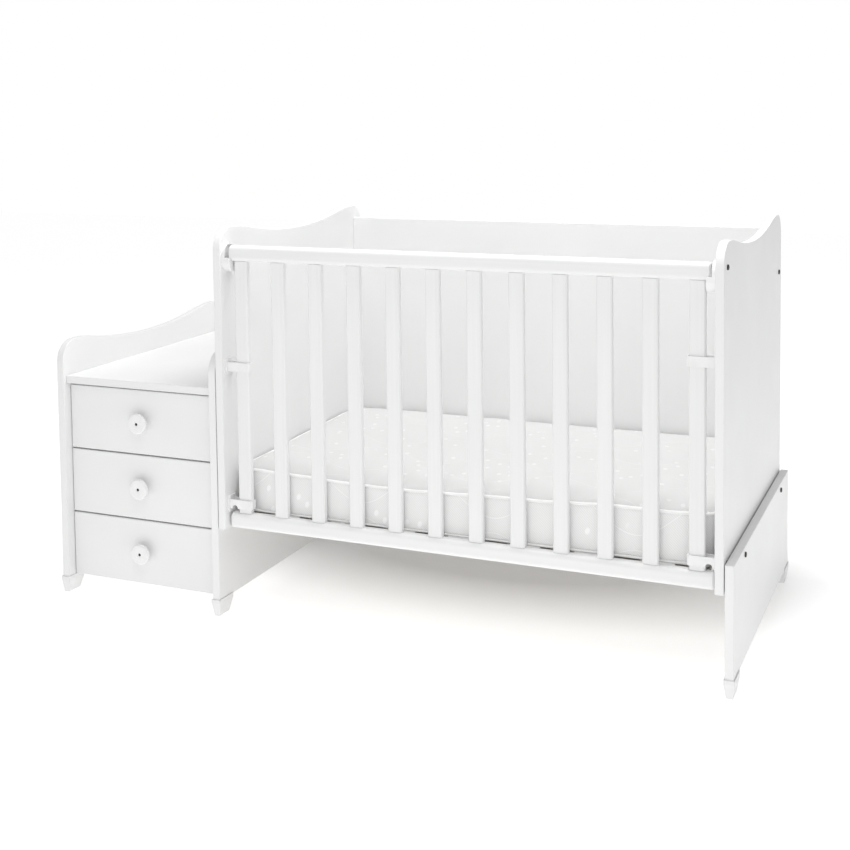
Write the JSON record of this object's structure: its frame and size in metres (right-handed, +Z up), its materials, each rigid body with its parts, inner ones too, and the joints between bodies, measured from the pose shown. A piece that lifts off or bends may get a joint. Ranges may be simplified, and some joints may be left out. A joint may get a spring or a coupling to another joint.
{
  "type": "convertible crib",
  "caption": "Convertible crib with a sliding slatted gate, crested end panels and a padded mattress, joined to a low side dresser with drawers and round knobs",
  "frame": {"origin": "on the floor under the middle of the footprint", "axes": "+X along the bed from the dresser to the leg board, +Y from the gate to the back panel, +Z up"},
  "size_m": [1.6144, 0.7444, 0.8985],
  "materials": {
    "lacquered_board": "white satin lacquer",
    "gate_lacquer": "white satin lacquer",
    "knob_lacquer": "white satin lacquer",
    "drawer_lining": "white matt foil",
    "thin_panel": "white matt foil on hardboard",
    "bare_wood": "sanded, unvarnished",
    "foot_plastic": "moulded, fine grain",
    "fitting_plastic": "moulded, satin",
    "runner_plastic": "extruded, smooth",
    "dark_steel": "dark plated",
    "mattress_cover": "white woven, quilted"
  },
  "bodies": {
    "frame": {"dresser_left_panel": "lacquered_board", "dresser_right_panel": "lacquered_board", "dresser_top": "lacquered_board", "dresser_stretcher": "lacquered_board", "crib_left_end": "lacquered_board", "crib_right_end": "lacquered_board", "crib_back_panel": "lacquered_board", "leg_board": "lacquered_board", "dresser_back": "thin_panel", "drawer_runners": "runner_plastic", "base_front_rail": "bare_wood", "base_back_rail": "bare_wood", "base_brackets": "dark_steel", "base_laths": "bare_wood", "corner_bolts": "dark_steel", "fitting_bolts": "dark_steel", "link_bolts": "dark_steel", "rail_catch_left": "fitting_plastic", "rail_catch_right": "fitting_plastic", "mid_guide_left": "fitting_plastic", "mid_guide_right": "fitting_plastic", "bottom_guide_left": "fitting_plastic", "bottom_guide_right": "fitting_plastic", "dresser_left_front_foot": "foot_plastic", "dresser_left_back_foot": "foot_plastic", "dresser_right_front_foot": "foot_plastic", "dresser_right_back_foot": "foot_plastic", "leg_board_front_foot": "foot_plastic", "leg_board_back_foot": "foot_plastic"},
    "gate": {"gate_top_rail": "gate_lacquer", "gate_bottom_rail": "gate_lacquer", "gate_left_end_slat": "gate_lacquer", "gate_right_end_slat": "gate_lacquer", "gate_inner_slats": "gate_lacquer"},
    "mattress": {"mattress": "mattress_cover"},
    "bottom_drawer": {"bottom_drawer_front": "lacquered_board", "bottom_drawer_left_side": "drawer_lining", "bottom_drawer_right_side": "drawer_lining", "bottom_drawer_back": "drawer_lining", "bottom_drawer_bottom": "thin_panel", "bottom_drawer_knob": "knob_lacquer"},
    "middle_drawer": {"middle_drawer_front": "lacquered_board", "middle_drawer_left_side": "drawer_lining", "middle_drawer_right_side": "drawer_lining", "middle_drawer_back": "drawer_lining", "middle_drawer_bottom": "thin_panel", "middle_drawer_knob": "knob_lacquer"},
    "top_drawer": {"top_drawer_front": "lacquered_board", "top_drawer_left_side": "drawer_lining", "top_drawer_right_side": "drawer_lining", "top_drawer_back": "drawer_lining", "top_drawer_bottom": "thin_panel", "top_drawer_knob": "knob_lacquer"}
  },
  "joints": [
    {"name": "gate_slide", "type": "slide", "parent": "frame", "child": "gate", "axis": [0, 0, -1], "range_m": [0, 0.145], "deforming": ["rail_catch_left", "rail_catch_right"]},
    {"name": "mattress_lift", "type": "slide", "parent": "frame", "child": "mattress", "axis": [0, 0, 1], "range_m": [0, 0.66]},
    {"name": "bottom_drawer_slide", "type": "slide", "parent": "frame", "child": "bottom_drawer", "axis": [0, -1, 0], "range_m": [0, 0.36]},
    {"name": "middle_drawer_slide", "type": "slide", "parent": "frame", "child": "middle_drawer", "axis": [0, -1, 0], "range_m": [0, 0.36]},
    {"name": "top_drawer_slide", "type": "slide", "parent": "frame", "child": "top_drawer", "axis": [0, -1, 0], "range_m": [0, 0.36]}
  ]
}
